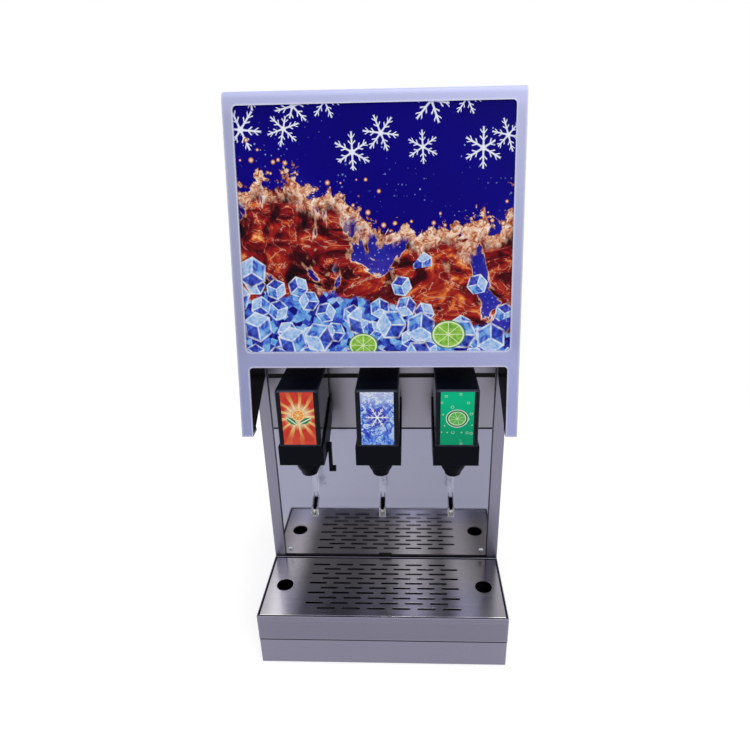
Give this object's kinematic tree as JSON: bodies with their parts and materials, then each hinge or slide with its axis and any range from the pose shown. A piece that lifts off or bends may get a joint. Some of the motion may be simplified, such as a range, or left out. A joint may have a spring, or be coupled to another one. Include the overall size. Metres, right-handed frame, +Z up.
{
  "type": "soda fountain dispenser",
  "caption": "Counter-top soda fountain with a leaning light box, black mixing valves with clear levers, and a drip tray with a slotted cup grille.",
  "frame": {"origin": "middle of the footprint, on the counter", "axes": "+X to the user's right, -Y towards the user, +Z up"},
  "size_m": [0.4, 0.5, 0.86],
  "materials": {
    "brushed_steel": "brushed stainless steel",
    "mirror_steel": "mirror polished stainless steel",
    "zinc_steel": "zinc plated steel",
    "black_steel": "black powder coat",
    "copper": "bare copper tube",
    "aluminium": "mill finish",
    "fascia": "satin lavender grey moulding",
    "gloss_black": "glossy black moulding",
    "matt_black": "fine matt black moulding",
    "clear_plastic": "clear polycarbonate",
    "picture": "printed panel",
    "card_red": "printed card",
    "card_blue": "printed card",
    "card_green": "printed card",
    "white_plastic": "white moulding",
    "rubber": "black rubber",
    "foam": "cream insulating foam"
  },
  "bodies": {
    "cabinet": {"foot_front_left": "rubber", "foot_front_right": "rubber", "foot_rear_left": "rubber", "foot_rear_right": "rubber", "base_chassis": "black_steel", "plinth_box": "brushed_steel", "right_side_panel": "brushed_steel", "left_side_panel": "brushed_steel", "rear_panel": "zinc_steel", "upper_front_panel": "brushed_steel", "valve_panel": "brushed_steel", "lower_splash_panel": "mirror_steel", "splash_screw_left": "zinc_steel", "splash_screw_right": "zinc_steel", "inlet_manifold": "zinc_steel", "power_inlet": "matt_black", "fascia_frame": "fascia", "right_cheek": "matt_black", "left_cheek": "matt_black", "poster_panel": "picture", "light_panel": "white_plastic", "tank_shelf": "zinc_steel", "tank_insulation": "foam", "water_bath_tank": "brushed_steel", "evaporator_coil": "copper", "carbonator_tank": "brushed_steel", "agitator_motor": "black_steel", "compressor": "black_steel", "condenser": "aluminium", "fan_shroud": "black_steel", "carbonator_pump": "zinc_steel", "control_box": "zinc_steel", "mounting_block_left": "matt_black", "mounting_block_middle": "matt_black", "mounting_block_right": "matt_black", "valve_body_left": "matt_black", "valve_body_middle": "matt_black", "valve_body_right": "matt_black", "lever_pin_left": "zinc_steel", "lever_pin_middle": "zinc_steel", "lever_pin_right": "zinc_steel"},
    "tray": {"drip_tray": "brushed_steel"},
    "grille": {"cup_grille": "brushed_steel"},
    "lid": {"top_lid": "brushed_steel"},
    "rocker": {"power_switch": "gloss_black"},
    "agitator": {"agitator_impeller": "white_plastic"},
    "fan": {"fan_blade": "aluminium"},
    "cover_left": {"valve_cover_left": "gloss_black", "name_card_left": "card_red"},
    "cover_middle": {"valve_cover_middle": "gloss_black", "name_card_middle": "card_blue"},
    "cover_right": {"valve_cover_right": "gloss_black", "name_card_right": "card_green"},
    "spout_left": {"nozzle_left": "gloss_black"},
    "spout_middle": {"nozzle_middle": "gloss_black"},
    "spout_right": {"nozzle_right": "gloss_black"},
    "push_lever_left": {"lever_left": "clear_plastic"},
    "push_lever_middle": {"lever_middle": "clear_plastic"},
    "push_lever_right": {"lever_right": "clear_plastic"},
    "shutoff": {"shutoff_lever_left": "matt_black"}
  },
  "joints": [
    {"name": "tray_slide", "type": "slide", "parent": "cabinet", "child": "tray", "axis": [0, -1, 0], "range_m": [0, 0.14]},
    {"name": "grille_lift", "type": "slide", "parent": "tray", "child": "grille", "axis": [0, 0, 1], "range_m": [0, 0.08]},
    {"name": "lid_lift", "type": "slide", "parent": "cabinet", "child": "lid", "axis": [0, 0, 1], "range_m": [0, 0.15]},
    {"name": "power_rocker", "type": "hinge", "parent": "cabinet", "child": "rocker", "pos_m": [-0.13, 0.2243, 0.095], "axis": [1, 0, 0], "range_deg": [0, 16]},
    {"name": "agitator_spin", "type": "hinge", "parent": "cabinet", "child": "agitator", "pos_m": [0.05, 0.058, 0.52], "axis": [0, 0, 1], "continuous": true},
    {"name": "fan_spin", "type": "hinge", "parent": "cabinet", "child": "fan", "pos_m": [0.095, 0.1062, 0.12], "axis": [0, 1, 0], "continuous": true},
    {"name": "cover_left_pull", "type": "slide", "parent": "cabinet", "child": "cover_left", "axis": [0, -1, 0], "range_m": [0, 0.12]},
    {"name": "cover_middle_pull", "type": "slide", "parent": "cabinet", "child": "cover_middle", "axis": [0, -1, 0], "range_m": [0, 0.12]},
    {"name": "cover_right_pull", "type": "slide", "parent": "cabinet", "child": "cover_right", "axis": [0, -1, 0], "range_m": [0, 0.12]},
    {"name": "nozzle_left_twist", "type": "hinge", "parent": "cabinet", "child": "spout_left", "pos_m": [-0.1124, -0.164, 0.33], "axis": [0, 0, 1], "range_deg": [-45, 0]},
    {"name": "nozzle_middle_twist", "type": "hinge", "parent": "cabinet", "child": "spout_middle", "pos_m": [0, -0.164, 0.33], "axis": [0, 0, 1], "range_deg": [-45, 0]},
    {"name": "nozzle_right_twist", "type": "hinge", "parent": "cabinet", "child": "spout_right", "pos_m": [0.1124, -0.164, 0.33], "axis": [0, 0, 1], "range_deg": [-45, 0]},
    {"name": "lever_left_push", "type": "hinge", "parent": "cabinet", "child": "push_lever_left", "pos_m": [-0.1124, -0.127, 0.378], "axis": [1, 0, 0], "range_deg": [0, 8], "stiffness_Nm_per_rad": 0.4, "springref_deg": -8.59},
    {"name": "lever_middle_push", "type": "hinge", "parent": "cabinet", "child": "push_lever_middle", "pos_m": [0, -0.127, 0.378], "axis": [1, 0, 0], "range_deg": [0, 8], "stiffness_Nm_per_rad": 0.4, "springref_deg": -8.59},
    {"name": "lever_right_push", "type": "hinge", "parent": "cabinet", "child": "push_lever_right", "pos_m": [0.1124, -0.127, 0.378], "axis": [1, 0, 0], "range_deg": [0, 8], "stiffness_Nm_per_rad": 0.4, "springref_deg": -8.59},
    {"name": "shutoff_turn", "type": "hinge", "parent": "cabinet", "child": "shutoff", "pos_m": [-0.0791, -0.175, 0.366], "axis": [1, 0, 0], "range_deg": [-90, 0]}
  ]
}
